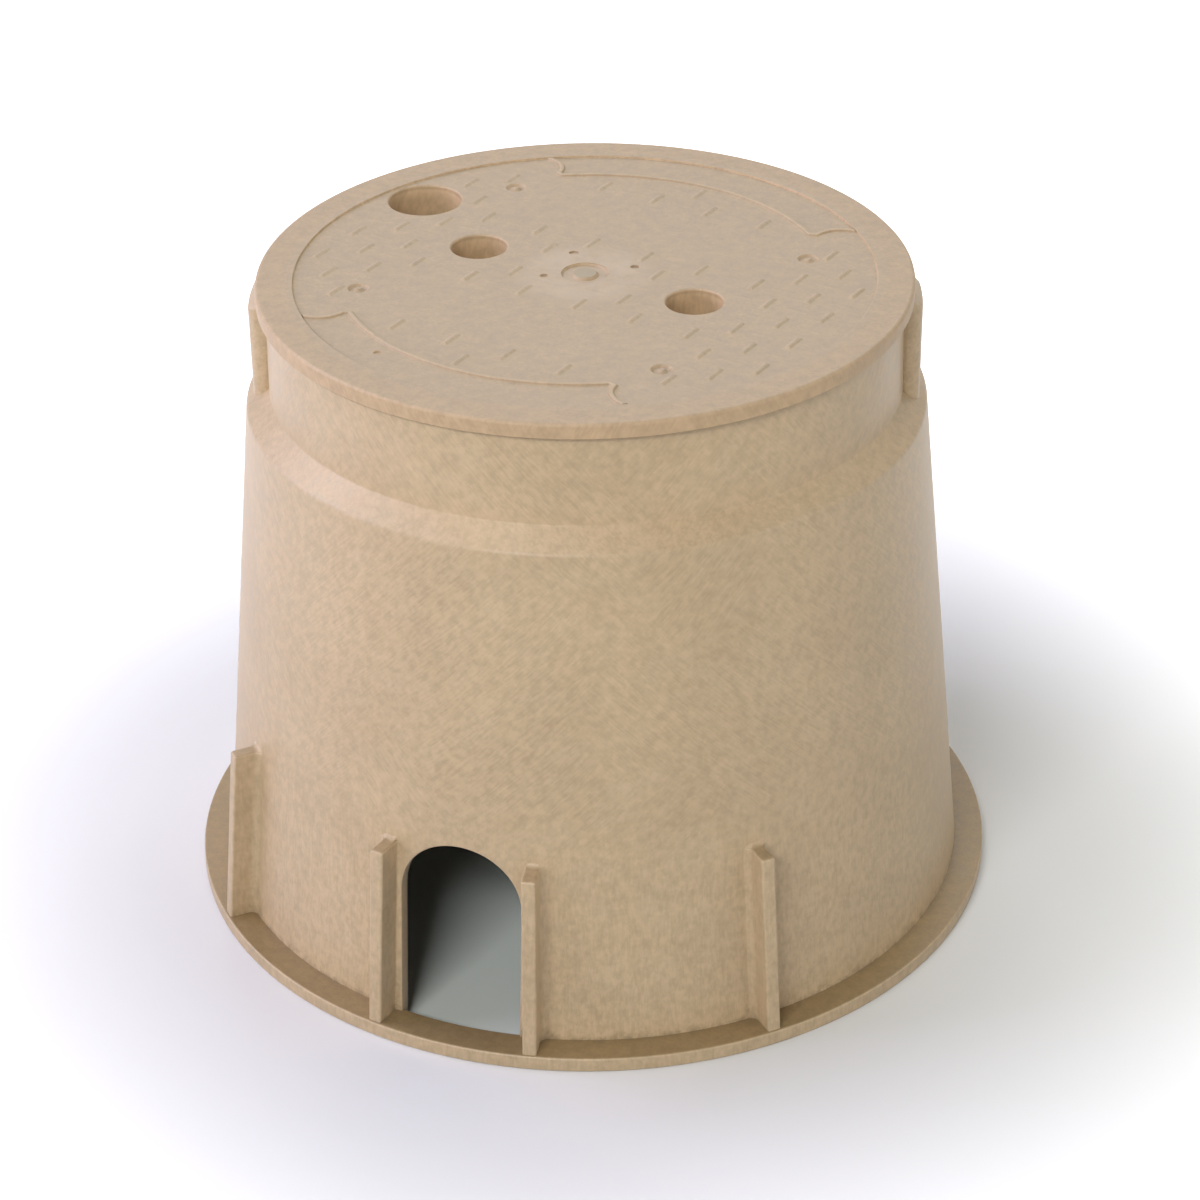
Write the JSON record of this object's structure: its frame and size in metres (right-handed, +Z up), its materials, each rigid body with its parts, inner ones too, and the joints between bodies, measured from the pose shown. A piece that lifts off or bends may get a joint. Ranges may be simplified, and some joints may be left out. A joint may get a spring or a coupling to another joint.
{
  "type": "irrigation valve box",
  "caption": "Round tapered in-ground valve box with a base flange, gusset ribs, arched pipe slots and a treaded twist-lock lid with finger holes.",
  "frame": {"origin": "middle of the base, on the ground", "axes": "+Z up; the pipe slots face -Y and +Y"},
  "size_m": [0.3286, 0.3286, 0.2601],
  "materials": {
    "body_plastic": "tan structural-foam moulding, fine flow streaks",
    "lid_plastic": "tan structural-foam moulding, raised tread"
  },
  "bodies": {
    "body": {"box_body": "body_plastic"},
    "cover": {"lid": "lid_plastic"}
  },
  "joints": [
    {"name": "lid_twist", "type": "hinge", "parent": "body", "child": "cover", "pos_m": [0, 0, 0.2538], "axis": [0, 0, 1], "range_deg": [0, 30]}
  ]
}
